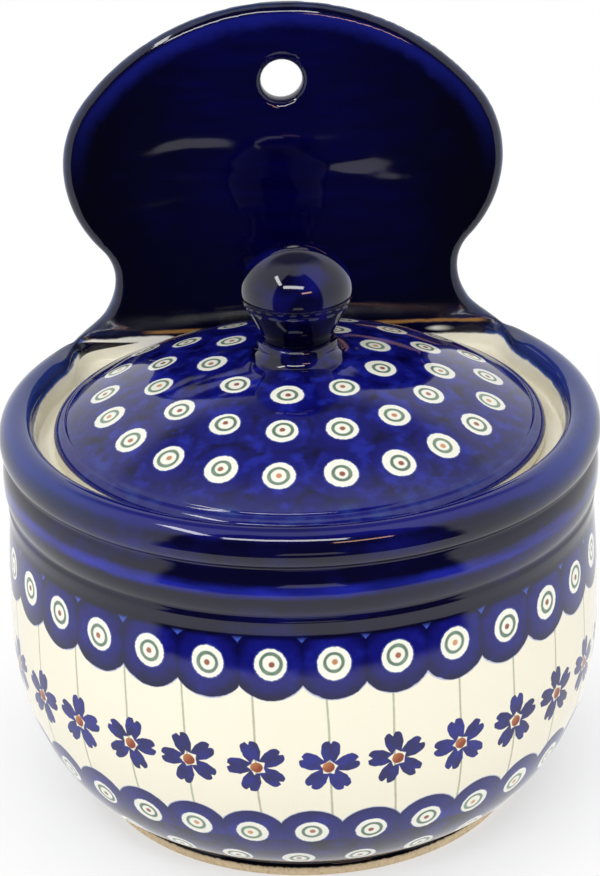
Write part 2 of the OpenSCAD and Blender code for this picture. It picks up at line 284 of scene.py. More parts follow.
class Section:
    """Signed distance to a half outline that its own axis closes, negative inside, from a table."""

    def __init__(self, path, reach, low, high, step):
        self.low, self.step = low, step
        u = np.arange(0, reach + step, step)[:, None]
        v = np.arange(low, high + step, step)[None, :]
        far = np.full((u.shape[0], v.shape[1]), np.inf)
        inside = np.zeros(far.shape, bool)
        for (u0, v0), (u1, v1) in zip(path[:-1], path[1:]):
            du, dv = u1 - u0, v1 - v0
            long = du * du + dv * dv
            if long == 0:
                continue
            t = np.clip(((u - u0) * du + (v - v0) * dv) / long, 0, 1)
            far = np.minimum(far, (u - u0 - t * du) ** 2 + (v - v0 - t * dv) ** 2)
            if dv != 0:
                spans = (v0 <= v) != (v1 <= v)
                inside ^= spans & (u < u0 + du * (v - v0) / dv)
        self.table = np.where(inside, -1, 1) * np.sqrt(far)

    def at(self, u, v):
        """The distance at places across and up, by blending the four nearest entries."""
        cols, rows = self.table.shape
        a = np.clip(np.abs(u) / self.step, 0, cols - LAST_ENTRY)
        b = np.clip((v - self.low) / self.step, 0, rows - LAST_ENTRY)
        i, j = a.astype(int), b.astype(int)
        a, b = a - i, b - j
        t = self.table
        lower = t[i, j] * (1 - a) + t[i + 1, j] * a
        upper = t[i, j + 1] * (1 - a) + t[i + 1, j + 1] * a
        return lower * (1 - b) + upper * b


# Least rounding of a corner, so that it can divide
LEAST_SOFT = 1e-6


def soft_max(a, b, soft):
    """The larger of two distances, with the corner between them rounded."""
    near = np.maximum(soft - np.abs(a - b), 0)
    return np.maximum(a, b) + near * near / (4 * np.maximum(soft, LEAST_SOFT))


def soft_min(a, b, soft):
    """The smaller of two distances, with the hollow between them filled."""
    return -soft_max(-a, -b, soft)


def ramp(low, high, value):
    """0 below one value, 1 above another and a smooth rise between them."""
    t = np.clip((value - low) / (high - low), 0, 1)
    return t * t * (3 - 2 * t)


# Rounding of the crock's inside corners, its back edges and its hanging hole
WELL_SOFT = 3.0
BACK_SOFT = 5.0
HOLE_SOFT = 2.4
# The plate's front leans back from its foot to its top, and its glaze pools at the foot
LEAN_LOW = RIM_TOP + 0.4
LEAN_D = 3.5
LEAN_SHADE_D = 2.6
POOL_MID = 126.0
POOL_MID_D = 2.0
POOL_TOP = 150.0
POOL_TOP_D = 2.5
# Widest fillet where the rim runs up into the plate, and how far from the middle it starts and is full
JOIN_SOFT = 5.0
JOIN_FROM = 38.0
JOIN_FULL = 52.0
# How far the rim's inner wall opens out to the slab's corners, and where it starts to
CORNER_OPEN = 6.0
CORNER_FROM = 31.0
CORNER_Z_SPAN = (SEAT_Z - 2, SEAT_Z + 1)
# How fast the slab is let out of the belly's round above the flare
FLARE_FREE = 3

pot_reach = (POT_REACH, -POT_ROOM, PLATE_TOP + POT_ROOM, POT_STEP)
outside = Section(outside_path(), *pot_reach)
hollow = Section(inside_path(), *pot_reach)
outline = Section(plate_path(), *pot_reach)


def plate_lean(z):
    """How far the plate's front stands back from the slab's at a height."""
    return LEAN_D * np.clip((z - LEAN_LOW) / (PLATE_TOP - LEAN_LOW), 0, 1)


def crock_field(x, y, z):
    """Distance-like field of the pot and its plate as one glazed piece, negative in the clay."""
    r = np.hypot(x, y)
    widen = CORNER_OPEN * ramp(CORNER_FROM, SLAB_Y, y) * ramp(*CORNER_Z_SPAN, z)
    well = soft_max(hollow.at(r - widen, z), y - SLAB_Y, WELL_SOFT)
    body = soft_max(np.maximum(outside.at(r, z), -well), y - BACK_Y, BACK_SOFT)
    side = outline.at(x, z) + EDGE_R
    face = np.maximum(SLAB_Y + plate_lean(z) - y, y - BACK_Y) + EDGE_R
    plate = np.minimum(np.maximum(side, face), 0) - EDGE_R
    plate = plate + np.hypot(np.maximum(side, 0), np.maximum(face, 0))
    plate = soft_max(plate, r - BELLY_R - FLARE_FREE * np.maximum(z - FLARE_TOP, 0), EDGE_R)
    joined = soft_min(body, plate, JOIN_SOFT * ramp(JOIN_FROM, JOIN_FULL, np.abs(x)))
    return soft_max(joined, HOLE_R - np.hypot(x, z - HOLE_Z), HOLE_SOFT)


# Rounding of the edges of the lid's straight back
LID_BACK_SOFT = 2.4
lid_section = Section(lid_path(), LID_REACH, SEAT_Z - FLANGE_H - LID_ROOM, BOSS_TOP + LID_ROOM, LID_STEP)
knob_section = Section(knob_path(), KNOB_REACH, BOSS_TOP - KNOB_ROOM, KNOB_APEX + KNOB_ROOM, KNOB_STEP)


def lid_field(x, y, z):
    """Field of the lid, cut straight at its back."""
    return soft_max(lid_section.at(np.hypot(x, y), z), y - LID_BACK_Y, LID_BACK_SOFT)


def knob_field(x, y, z):
    """Field of the knob."""
    return knob_section.at(np.hypot(x, y), z)


def grid_lines(*stops):
    """Places along an axis from (start, step) pairs, each with its own spacing, up to a last value."""
    places = []
    for (start, step), following in zip(stops[:-1], stops[1:]):
        end = following[0] if isinstance(following, tuple) else following
        count = max(1, round((end - start) / step))
        places.extend(np.linspace(start, end, count, endpoint=False))
    places.append(stops[-1])
    return np.array(places, float)


def quads_along(inside, cells, axis):
    """One quad round each grid line along an axis that passes through the surface."""
    b, c = (axis + 1) % 3, (axis + 2) % 3
    crossing = inside != np.roll(inside, -1, axis)
    # The grid closes on itself round the turns only, so lines on its other borders have no quads
    for other in (1, 2):
        last = [slice(None)] * 3
        last[other] = -1
        crossing[tuple(last)] = False
        if other != axis:
            last[other] = 0
            crossing[tuple(last)] = False
    at = np.argwhere(crossing)

    def cell(step_b, step_c):
        place = at.copy()
        place[:, b] += step_b
        place[:, c] += step_c
        place[:, 0] %= inside.shape[0]
        return cells[tuple(place.T)]

    quads = np.stack([cell(-1, -1), cell(-1, 0), cell(0, 0), cell(0, -1)], 1)
    turned = ~inside[tuple(at.T)]
    quads[turned] = quads[turned][:, ::-1]
    return quads


# Settling of points on a surface: the probe for its slope, the least slope, the longest move, and rounds
PROBE = 0.05
LEAST_SLOPE = 0.05
LONGEST_MOVE = 1.5
SETTLE_ROUNDS = 4
RELAX_ROUNDS = 2


def settle(field, points, rounds):
    """Moves points onto the zero level of a field, along its slope."""
    for _ in range(rounds):
        value = field(*points.T)
        slope = np.zeros_like(points)
        for k in range(3):
            ahead, behind = points.copy(), points.copy()
            ahead[:, k] += PROBE
            behind[:, k] -= PROBE
            slope[:, k] = (field(*ahead.T) - field(*behind.T)) / (2 * PROBE)
        size = np.maximum((slope ** 2).sum(1), LEAST_SLOPE)
        points = points - slope * np.clip(value / size, -LONGEST_MOVE, LONGEST_MOVE)[:, None]
    return points


def relax(points, quads):
    """Moves each point half way to the middle of its neighbours along the quads' edges."""
    total = np.zeros_like(points)
    count = np.zeros(len(points))
    for k in range(4):
        for a, b in ((quads[:, k], quads[:, (k + 1) % 4]), (quads[:, (k + 1) % 4], quads[:, k])):
            for axis in range(3):
                total[:, axis] += np.bincount(a, points[b, axis], len(points))
            count += np.bincount(a, minlength=len(points))
    return points + 0.5 * (total / np.maximum(count, 1)[:, None] - points)


def skin(name, field, turns, radii, heights):
    """A closed mesh over the zero level of a field, on rings about the axis."""
    turn = 2 * math.pi / turns
    a = (np.arange(turns) * turn)[:, None, None]
    r, z = radii[None, :, None], heights[None, None, :]
    inside = field(r * np.sin(a), -r * np.cos(a), z + 0 * a * r) < 0
    tally = inside.astype(np.int8)
    tally = tally + np.roll(tally, -1, 0)
    tally = tally[:, :-1] + tally[:, 1:]
    tally = tally[:, :, :-1] + tally[:, :, 1:]
    # The surface passes through cells with some, but not all, of their eight corners inside
    active = (tally > 0) & (tally < 8)
    cells = np.full(active.shape, -1)
    cells[active] = np.arange(active.sum())
    i, j, k = np.nonzero(active)
    angle = (i + 0.5) * turn
    radius = (radii[j] + radii[j + 1]) / 2
    height = (heights[k] + heights[k + 1]) / 2
    points = np.stack([radius * np.sin(angle), -radius * np.cos(angle), height], 1)
    quads = np.concatenate([quads_along(inside, cells, axis) for axis in range(3)])
    points = settle(field, points, SETTLE_ROUNDS)
    for _ in range(RELAX_ROUNDS):
        points = settle(field, relax(points, quads), RELAX_ROUNDS)
    faces = quads.tolist()
    for level in np.nonzero(inside[0, 0, :-1] != inside[0, 0, 1:])[0]:
        ring = cells[:, 0, level].tolist()
        faces.append(ring if inside[0, 0, level] else ring[::-1])
    mesh = bpy.data.meshes.new(name)
    mesh.from_pydata(((points + (0, AXIS_Y, 0)) * MM).tolist(), [], faces)
    mesh.shade_smooth()
    piece = bpy.data.objects.new(name, mesh)
    bpy.context.scene.collection.objects.link(piece)
    return piece, points


def add_attribute(piece, name, values):
    """Keeps one number for each point of a piece, for its material to read."""
    attribute = piece.data.attributes.new(name, "FLOAT", "POINT")
    attribute.data.foreach_set("value", np.asarray(values, np.float32))


# Grids of the meshes: turns round the axis, and lines along the radius and the height
CROCK_TURNS = 276
CROCK_RADII = grid_lines((0, 2.5), (45, 1.2), (70, 0.8), (80, 1.1), 87)
CROCK_HEIGHTS = grid_lines((-2, 0.6), (8, 2.2), (82, 0.6), (114, 1.4), 202)
LID_TURNS = 288
LID_RADII = grid_lines((0, 1.5), (48, 0.7), 67)
LID_HEIGHTS = grid_lines((SEAT_Z - 10, 0.8), (BOSS_TOP - 6, 0.5), BOSS_TOP + 3)
KNOB_TURNS = 144
KNOB_RADII = grid_lines((0, 0.6), KNOB_R + 2)
KNOB_HEIGHTS = grid_lines((BOSS_TOP - 2, 0.6), KNOB_APEX + 2)

crock, crock_points = skin("crock", crock_field, CROCK_TURNS, CROCK_RADII, CROCK_HEIGHTS)
lid, lid_points = skin("domed_lid", lid_field, LID_TURNS, LID_RADII, LID_HEIGHTS)
knob, _ = skin("lid_knob", knob_field, KNOB_TURNS, KNOB_RADII, KNOB_HEIGHTS)

# How far each point lies under the middle of the lid's wall, and inside the crock's outline
lid_r = np.hypot(lid_points[:, 0], lid_points[:, 1])
add_attribute(lid, "under", dome(np.minimum(lid_r, LID_R - BEAD_W)) - LID_T / 2 - lid_points[:, 2])
crock_r = np.hypot(crock_points[:, 0], crock_points[:, 1])
add_attribute(crock, "edge", np.minimum(
    outline.at(crock_points[:, 0], crock_points[:, 2]), outside.at(crock_r, crock_points[:, 2])))


# Half of the blur of a painted edge, and the glazes' index of refraction
EDGE_SOFT = 0.12
GLAZE_IOR = 1.52
# How far a seed shifts a noise along each axis
SEED_SHIFT = (1, 0.7, -0.4)


class Num:
    """One number of a shader. Arithmetic on it adds Math nodes to its tree."""

    def __init__(self, tree, out):
        self.tree, self.out = tree, out

    def math(self, operation, *others):
        """The result of a Math node on this number and others."""
        node = self.tree.nodes.new("ShaderNodeMath")
        node.operation = operation
        for slot, value in zip(node.inputs, (self, *others)):
            if isinstance(value, Num):
                self.tree.links.new(value.out, slot)
            else:
                slot.default_value = value
        return Num(self.tree, node.outputs[0])

    def __add__(self, other):
        return self.math("ADD", other)

    def __sub__(self, other):
        return self.math("SUBTRACT", other)

    def __mul__(self, other):
        return self.math("MULTIPLY", other)

    def __truediv__(self, other):
        return self.math("DIVIDE", other)

    def __neg__(self):
        return self.math("MULTIPLY", -1.0)

    def __abs__(self):
        return self.math("ABSOLUTE")

    def below(self, edge, soft=EDGE_SOFT):
        """1 where the number is under an edge and 0 over it."""
        return (self - edge).ramp(soft, -soft)

    def above(self, edge, soft=EDGE_SOFT):
        """1 where the number is over an edge and 0 under it."""
        return (self - edge).ramp(-soft, soft)

    def ramp(self, low, high):
        """A smooth rise from 0 to 1 between two values."""
        node = self.tree.nodes.new("ShaderNodeMapRange")
        node.interpolation_type = "SMOOTHSTEP"
        self.tree.links.new(self.out, node.inputs[0])
        node.inputs[1].default_value = low
        node.inputs[2].default_value = high
        return Num(self.tree, node.outputs[0])


def length(u, v):
    """Length of a flat vector."""
    return (u * u + v * v).math("SQRT")


class Glaze:
    """A glossy material that is painted layer by layer, in millimetres about the pot's axis."""

    def __init__(self, name, roughness):
        self.material = bpy.data.materials.new(name)
        self.material.use_nodes = True
        self.tree = self.material.node_tree
        self.shader = self.tree.nodes["Principled BSDF"]
        self.shader.inputs["Roughness"].default_value = roughness
        self.shader.inputs["IOR"].default_value = GLAZE_IOR
        place = self.tree.nodes.new("ShaderNodeTexCoord").outputs["Object"]
        split = self.tree.nodes.new("ShaderNodeSeparateXYZ")
        self.tree.links.new(place, split.inputs[0])
        self.place = place
        x, y, z = (Num(self.tree, out) * (1 / MM) for out in split.outputs)
        self.x, self.y, self.z = x, y - AXIS_Y, z
        self.r = length(self.x, self.y)
        self.turn = self.x.math("ARCTAN2", -self.y)
        self.colour = None

    def noise(self, size, detail=2.0, seed=0.0, stretch=(1, 1, 1)):
        """Smooth noise about 0, from -0.5 to 0.5, with features of a size in millimetres."""
        shift = self.tree.nodes.new("ShaderNodeMapping")
        shift.inputs["Scale"].default_value = stretch
        shift.inputs["Location"].default_value = [seed * share for share in SEED_SHIFT]
        self.tree.links.new(self.place, shift.inputs["Vector"])
        node = self.tree.nodes.new("ShaderNodeTexNoise")
        node.inputs["Scale"].default_value = 1 / (size * MM)
        node.inputs["Detail"].default_value = detail
        self.tree.links.new(shift.outputs[0], node.inputs["Vector"])
        return Num(self.tree, node.outputs[0]) - 0.5

    def chances(self, index, seed):
        """Three numbers from -0.5 to 0.5 that belong to an index."""
        node = self.tree.nodes.new("ShaderNodeTexWhiteNoise")
        node.noise_dimensions = "1D"
        self.tree.links.new((index + seed).out, node.inputs["W"])
        split = self.tree.nodes.new("ShaderNodeSeparateColor")
        self.tree.links.new(node.outputs["Color"], split.inputs[0])
        return [Num(self.tree, out) - 0.5 for out in split.outputs[:3]]

    def attribute(self, name):
        """A number kept for each point of the piece."""
        node = self.tree.nodes.new("ShaderNodeAttribute")
        node.attribute_name = name
        return Num(self.tree, node.outputs["Fac"])

    def mix(self, first, second, amount):
        """A colour between two, each a plain colour or a socket."""
        node = self.tree.nodes.new("ShaderNodeMix")
        node.data_type = "RGBA"
        for slot, value in (("A_Color", first), ("B_Color", second)):
            socket = next(s for s in node.inputs if s.identifier == slot)
            if isinstance(value, tuple):
                socket.default_value = (*value, 1)
            else:
                self.tree.links.new(value, socket)
        self.tree.links.new(amount.out, node.inputs[0])
        return next(s for s in node.outputs if s.identifier == "Result_Color")

    def paint(self, colour, amount, share=1.0):
        """Lays a colour, or a share of it, over what is painted so far."""
        if share < 1.0:
            amount = amount * share
        self.colour = self.mix(self.colour, colour, amount)

    def row(self, start, count, seed):
        """The way to the nearest stamp of a row round the pot, and that stamp's three chances."""
        step = 2 * math.pi / count
        index = ((self.turn - start) / step).math("ROUND")
        return self.turn - start - index * step, self.chances(index.math("FLOORED_MODULO", count), seed)

    def finish(self, height, roughness=None):
        """Joins the painted colour, the relief and any changing gloss to the shader."""
        self.tree.links.new(self.colour, self.shader.inputs["Base Color"])
        if roughness is not None:
            self.tree.links.new(roughness.out, self.shader.inputs["Roughness"])
        bump = self.tree.nodes.new("ShaderNodeBump")
        bump.inputs["Distance"].default_value = MM
        self.tree.links.new(height.out, bump.inputs["Height"])
        self.tree.links.new(bump.outputs[0], self.shader.inputs["Normal"])
        return self.material


# Colours of the glazes, as they look in plain light
CREAM = (0.86, 0.815, 0.66)
CREAM_SPECK = (0.62, 0.55, 0.36)
# A paler cream for painted light at the rear of the well and for a painted highlight
LIT_CREAM = (0.96, 0.935, 0.83)
WHITE = (0.87, 0.86, 0.76)
DEEP = (0.0012, 0.0010, 0.016)
COBALT = (0.0050, 0.0055, 0.145)
BRIGHT = (0.012, 0.018, 0.29)
CREST = (0.014, 0.021, 0.36)
THIN = (0.04, 0.09, 0.34)
NIGHT = (0.0003, 0.0002, 0.005)
PLATE_BLUE = (0.0014, 0.0011, 0.075)
PETAL = (0.014, 0.018, 0.21)
PETAL_DARK = (0.012, 0.012, 0.10)
GREEN = (0.075, 0.155, 0.105)
GREEN_PALE = (0.17, 0.27, 0.18)
STEM = (0.34, 0.37, 0.24)
RUST = (0.24, 0.035, 0.008)
ORANGE = (0.62, 0.27, 0.09)
FRINGE = (0.16, 0.24, 0.62)
WEDGE = (0.05, 0.09, 0.45)
CLAY = (0.84, 0.66, 0.42)
CLAY_DARK = (0.66, 0.48, 0.27)
BROWN = (0.34, 0.17, 0.05)
# Dark brown for painted shade and a painted brown reflection low on the belly
REFLECTED_BROWN = (0.022, 0.011, 0.014)

# In the sizes below a SPAN is where a smooth rise starts and ends, a SOFT is half of an edge's blur,
# a SHARE is how much of a colour is laid on, and VARY, RAGGED and WAVY are how far chance moves an edge.
# A ROW of stamps is the angle of its first stamp, their count and a seed

# Eye dot: a white disc with a blue fringe, a green ring and a rust pupil
DISC_R = 4.05
DISC_RAGGED = 0.45
DISC_VARY = 0.3
FRINGE_W = 0.25
FRINGE_SOFT = 0.2
RING_R = 2.3
RING_W = 0.86
RING_SHIFT = 0.6
RING_VARY = 0.4
RING_RAGGED = 0.45
GREEN_VARY = 0.4
GREEN_SPAN = (-0.15, 0.3)
PUPIL_R = 0.72
PUPIL_SHIFT = 0.5
PUPIL_RAGGED = 0.7
RUST_SPAN = (-0.1, 0.3)


def draw_eye(glaze, u, v, chances):
    """An eye dot: a white disc with a green ring and a rust pupil, each a little off centre."""
    a, b, c = chances
    ragged = glaze.noise(0.8, seed=3.1) * DISC_RAGGED
    disc = length(u, v) + ragged + c * DISC_VARY
    glaze.paint(FRINGE, disc.below(DISC_R + FRINGE_W, FRINGE_SOFT), share=0.35)
    glaze.paint(WHITE, disc.below(DISC_R))
    ring_u = u + a * RING_SHIFT
    ring_v = v + b * RING_SHIFT
    ring = length(ring_u, ring_v) - RING_R - c * RING_VARY
    patchy = glaze.noise(2.6, seed=8.4)
    stroke = (abs(ring) - patchy * RING_RAGGED).below(RING_W / 2, soft=0.17)
    green = glaze.mix(GREEN, GREEN_PALE, (patchy + a * GREEN_VARY).ramp(*GREEN_SPAN))
    glaze.paint(green, stroke, share=0.95)
    pupil = length(ring_u + b * PUPIL_SHIFT, ring_v + c * PUPIL_SHIFT) + ragged * PUPIL_RAGGED
    rust = glaze.mix(RUST, ORANGE, a.ramp(*RUST_SPAN))
    glaze.paint(rust, pupil.below(PUPIL_R, soft=0.2), share=0.92)


# Scale round each eye dot: bright patches that fade away from the dot, and a dark rim
SCALE_R = 9.6
PATCH_VARY = 14.0
PATCH_FADE = 0.25
PATCH_SPAN = (-1.0, 3.0)
PATCH_SHARE = 0.9
SCALE_RIM_WAVY = 6.0
SCALE_RIM_SPAN = (5.5, 10.0)
SCALE_RIM_SHARE = 0.55


def scale_blue(glaze, away, mottle, bright=PATCH_SHARE, deep=SCALE_RIM_SHARE):
    """The blue of the scale round an eye dot: a little brighter beside the dot, dark at its rim."""
    patch = (mottle * PATCH_VARY - away * PATCH_FADE).ramp(*PATCH_SPAN)
    inner = glaze.mix(COBALT, BRIGHT, patch * bright)
    rim = (away - mottle * SCALE_RIM_WAVY).ramp(*SCALE_RIM_SPAN)
    return glaze.mix(inner, DEEP, rim * deep)


# Flower: petals that widen from the middle, round off towards the tip and have a notch there
PETALS = 5
PETAL_TURN = 1.62
PETAL_TURN_VARY = 0.6
PETAL_RAGGED = 0.6
PETAL_SIDE_RAGGED = 0.3
PETAL_WIDEN = 0.42
PETAL_ROOT_HALF_W = 0.62
PETAL_HALF_W = 2.35
PETAL_STRAIGHT = 4.9
PETAL_TIP_L = 2.7
PETAL_TIP_POWER = 4.0
PETAL_SIDE_POWER = 2.6
NOTCH_OUT = 6.55
NOTCH_SLOPE = 1.6
NOTCH_VARY = 0.5
HEEL_OUT = 2.35
HEEL_VARY = 0.3
PETAL_SHADE_VARY = 0.2
PETAL_SHADE_SPAN = (-0.2, 0.2)
MIDDLE_R = 1.5
MIDDLE_SHIFT = 0.4
MIDDLE_RAGGED = 0.5
MIDDLE_PATCHY = 2.0
MIDDLE_SPAN = (-1.6, 2.6)
MIDDLE_SHARE = 0.55


def draw_flower(glaze, u, v, chances):
    """Five notched petals round a rust middle."""
    a, b, c = chances
    turned = v.math("ARCTAN2", u) - (a * PETAL_TURN_VARY + PETAL_TURN)
    fifth = 2 * math.pi / PETALS
    petal = (turned / fifth).math("ROUND")
    lean = turned - petal * fifth
    ragged = glaze.noise(1.3, seed=5.5)
    out = length(u, v) + ragged * PETAL_RAGGED
    along = out * lean.math("COSINE")
    across = abs(out * lean.math("SINE") + ragged * PETAL_SIDE_RAGGED)
    half = (along * PETAL_WIDEN + PETAL_ROOT_HALF_W).math("MINIMUM", PETAL_HALF_W)
    tip = (along - PETAL_STRAIGHT).math("MAXIMUM", 0.0) / PETAL_TIP_L
    side = across / half
    body = (tip.math("POWER", PETAL_TIP_POWER) + side.math("POWER", PETAL_SIDE_POWER)).below(1.0)
    notch = (along - across * NOTCH_SLOPE - (b * NOTCH_VARY + NOTCH_OUT)).below(0.0, soft=0.16)
    heel = (along + across - (c * HEEL_VARY + HEEL_OUT)).above(0.0, soft=0.2)
    shade = (glaze.noise(3.0, seed=1.7) + c * PETAL_SHADE_VARY).ramp(*PETAL_SHADE_SPAN)
    glaze.paint(glaze.mix(PETAL, PETAL_DARK, shade), body * notch * heel)
    middle = length(u + b * MIDDLE_SHIFT, v + c * MIDDLE_SHIFT)
    middle = middle + glaze.noise(1.8, seed=2.9) * MIDDLE_RAGGED
    orange = (v - u + glaze.noise(1.2, seed=3.9) * MIDDLE_PATCHY).ramp(*MIDDLE_SPAN)
    glaze.paint(glaze.mix(RUST, ORANGE, orange * MIDDLE_SHARE), middle.below(MIDDLE_R))


# Specks in the cream glaze, gathered in loose fields
SPECK_OVER = 0.27
SPECK_FIELD_OVER = 0.02
SPECK_SHARE = 0.35


def specks(glaze):
    """1 on the specks of the cream glaze and 0 between them."""
    fields = glaze.noise(9.0, detail=1.0, seed=2.0).above(SPECK_FIELD_OVER, soft=0.2)
    return glaze.noise(0.9, detail=1.0, seed=7.0).above(SPECK_OVER, soft=0.03) * fields


def specked(glaze, cream, speck):
    """A cream with its specks."""
    return glaze.mix(cream, CREAM_SPECK, speck * SPECK_SHARE)


# Row of flowers round the belly, each on a thin stem
FLOWER_ROW = (-1.103, 28, 0.3)
FLOWER_Z = 45.7
FLOWER_STRETCH = 1.005
FLOWER_SHIFT = 0.6
FLOWER_RISE = 0.9
STEM_HALF_W = 0.27
STEM_SHIFT = 1.2
STEM_LEAN = 0.03
STEM_WAVY = 0.8
STEM_RAGGED = 0.18


def paint_flowers(glaze, fine):
    """Flowers on thin stems round the belly."""
    away, chances = glaze.row(*FLOWER_ROW)
    u = away * glaze.r + chances[0] * FLOWER_SHIFT
    v = (glaze.z - FLOWER_Z) * FLOWER_STRETCH + chances[1] * FLOWER_RISE
    stem = u + chances[2] * STEM_SHIFT + v * STEM_LEAN
    stem = stem + glaze.noise(20.0, detail=1.0, seed=6.0) * STEM_WAVY
    stroke = (abs(stem) + fine * STEM_RAGGED).below(STEM_HALF_W, soft=0.13)
    glaze.paint(STEM, stroke, share=0.8)
    draw_flower(glaze, u, v, chances)


# Collar and rim: clouds that thin out on the rim, a bright crest on the band, and pale thin glaze as a
# painted sheen on the rim's sides
CREST_Z = COLLAR_Z + BAND_H * 0.55
CREST_SPAN = (2.5, 0.2)
CREST_SHARE = 0.9
STREAK_STRETCH = (0.5, 0.5, 3)
STREAK_SPAN = (-0.4, 0.25)
CLOUD_STRETCH = (0.3, 0.3, 1.5)
CLOUD_VARY = 0.25
CLOUD_SPAN = (-0.38, 0.02)
RIM_CLEAR = 0.06
RIM_TOP_CLEAR = 0.32
RIM_TOP_SPAN = (RIM_TOP - 3.0, RIM_TOP - 0.5)
RIM_REAR_Y = SLAB_Y - 18.0
# Painted sheen on the rim's sides: its rise in height, its rise away from the middle, and its share
RIM_SHEEN_Z_SPAN = (RIM_Z + 2.0, RIM_TOP)
RIM_SHEEN_X_SPAN = (38.0, 76.0)
RIM_SHEEN_SHARE = 0.38


def collar_blue(glaze, mottle):
    """The clouded blue of the collar and rim, with a painted sheen on the rim's sides."""
    crest = abs(glaze.z + mottle - CREST_Z).ramp(*CREST_SPAN)
    streak = glaze.noise(9.0, detail=3.0, seed=17.0, stretch=STREAK_STRETCH).ramp(*STREAK_SPAN)
    cloud = glaze.noise(14.0, seed=23.0, stretch=CLOUD_STRETCH) + mottle * CLOUD_VARY
    rim_top = glaze.z.ramp(*RIM_TOP_SPAN) * glaze.y.below(RIM_REAR_Y, soft=10.0)
    clear = glaze.z.ramp(RIM_Z, RIM_MID_Z) * RIM_CLEAR + rim_top * RIM_TOP_CLEAR
    blue = glaze.mix(COBALT, DEEP, (cloud - clear).ramp(*CLOUD_SPAN))
    blue = glaze.mix(blue, CREST, crest * streak * CREST_SHARE)
    # Painted sheen: pale thin glaze over the rim's left and right sides
    rim_sheen = glaze.z.ramp(*RIM_SHEEN_Z_SPAN) * abs(glaze.x).ramp(*RIM_SHEEN_X_SPAN)
    return glaze.mix(blue, THIN, rim_sheen * RIM_SHEEN_SHARE)


# Rows of dots on the belly: how far each dot strays, and the scales' edges
DOT_SHIFT = 0.6
DOT_RISE = 0.5
SCALE_RAGGED = 0.22
SCALE_FRINGE_SHARE = 0.6
# Upper row, on scales that the collar's blue covers from above
UPPER_ROW = (-1.171, 31, 21.3)
UPPER_Z = 73.7
UPPER_SQUASH = 0.93
UPPER_PATCH_SHARE = 0.6
UPPER_RIM_SHARE = 0.8
WEDGE_Z = 77.0
SEAM_AT = 0.098
SEAM_RAGGED = 0.012
SEAM_IN = 0.1
COLLAR_EDGE_Z = 80.6
COLLAR_EDGE_WAVY = 1.4


def paint_upper_row(glaze, mottle, fine):
    """Eye dots on scales under the collar, and the collar's blue."""
    blue = collar_blue(glaze, mottle)
    away, chances = glaze.row(*UPPER_ROW)
    u = away * glaze.r
    v = glaze.z - UPPER_Z + chances[1] * DOT_RISE
    distance = length(u, v) + fine * SCALE_RAGGED
    glaze.paint(WEDGE, glaze.z.above(WEDGE_Z))
    fringe = distance.below(SCALE_R + FRINGE_W, FRINGE_SOFT) * glaze.z.below(WEDGE_Z)
    glaze.paint(FRINGE, fringe * SCALE_FRINGE_SHARE)
    scale = scale_blue(glaze, distance, mottle, UPPER_PATCH_SHARE, UPPER_RIM_SHARE)
    glaze.paint(scale, (distance + mottle).below(SCALE_R))
    seam = (abs(away) - fine * SEAM_RAGGED).above(SEAM_AT, soft=0.005)
    glaze.paint(DEEP, seam * distance.below(SCALE_R - SEAM_IN), share=0.15)
    collar = (glaze.z + mottle * COLLAR_EDGE_WAVY).above(COLLAR_EDGE_Z, soft=0.7)
    glaze.paint(blue, collar)
    draw_eye(glaze, u + chances[0] * DOT_SHIFT, v * UPPER_SQUASH, chances)


# Lower row, on smaller scales, and the last row on the blue band under it, with painted shade and
# reflection near the foot
LOWER_ROW = (-0.849, 31, 40.3)
LOWER_Z = 23.8
LOWER_STRETCH = 1.09
LOWER_SCALE_R = SCALE_R - 1.1
LOWER_BAND_Z = 20.6
LOWER_BAND_SPAN = (-0.25, 0.2)
REFLECTED_BROWN_SPAN = (16.0, 6.0)
REFLECTED_BROWN_SHARE = 0.6
LAST_ROW = (-0.575, 26, 63.3)
LAST_Z = 11.6
LAST_STRETCH = 1.35
# Top of the painted shade in the cove over the foot
COVE_SHADE_Z = FOOT_H + COVE_H + 0.6


def paint_lower_rows(glaze, mottle, fine):
    """Eye dots on scales low on the belly, the band under them with its own dots and painted shade, and
    painted shade in the cove.
    """
    away, chances = glaze.row(*LOWER_ROW)
    u = away * glaze.r
    v = (glaze.z - LOWER_Z) * LOWER_STRETCH + chances[1] * DOT_RISE
    distance = length(u, v) + fine * SCALE_RAGGED
    fringe = distance.below(LOWER_SCALE_R + FRINGE_W, FRINGE_SOFT)
    glaze.paint(FRINGE, fringe * SCALE_FRINGE_SHARE)
    glaze.paint(scale_blue(glaze, distance, mottle), distance.below(LOWER_SCALE_R))
    band = glaze.mix(COBALT, DEEP, mottle.ramp(*LOWER_BAND_SPAN))
    # Painted shade and reflection: the band turns dark brown towards the foot
    band = glaze.mix(band, REFLECTED_BROWN, glaze.z.ramp(*REFLECTED_BROWN_SPAN) * REFLECTED_BROWN_SHARE)
    glaze.paint(band, (glaze.z + mottle).below(LOWER_BAND_Z))
    draw_eye(glaze, u + chances[0] * DOT_SHIFT, v, chances)
    away, chances = glaze.row(*LAST_ROW)
    draw_eye(glaze, away * glaze.r, (glaze.z - LAST_Z) * LAST_STRETCH, chances)
    # Painted shade: near black in the cove over the foot
    glaze.paint(NIGHT, glaze.z.below(COVE_SHADE_Z, soft=0.4))


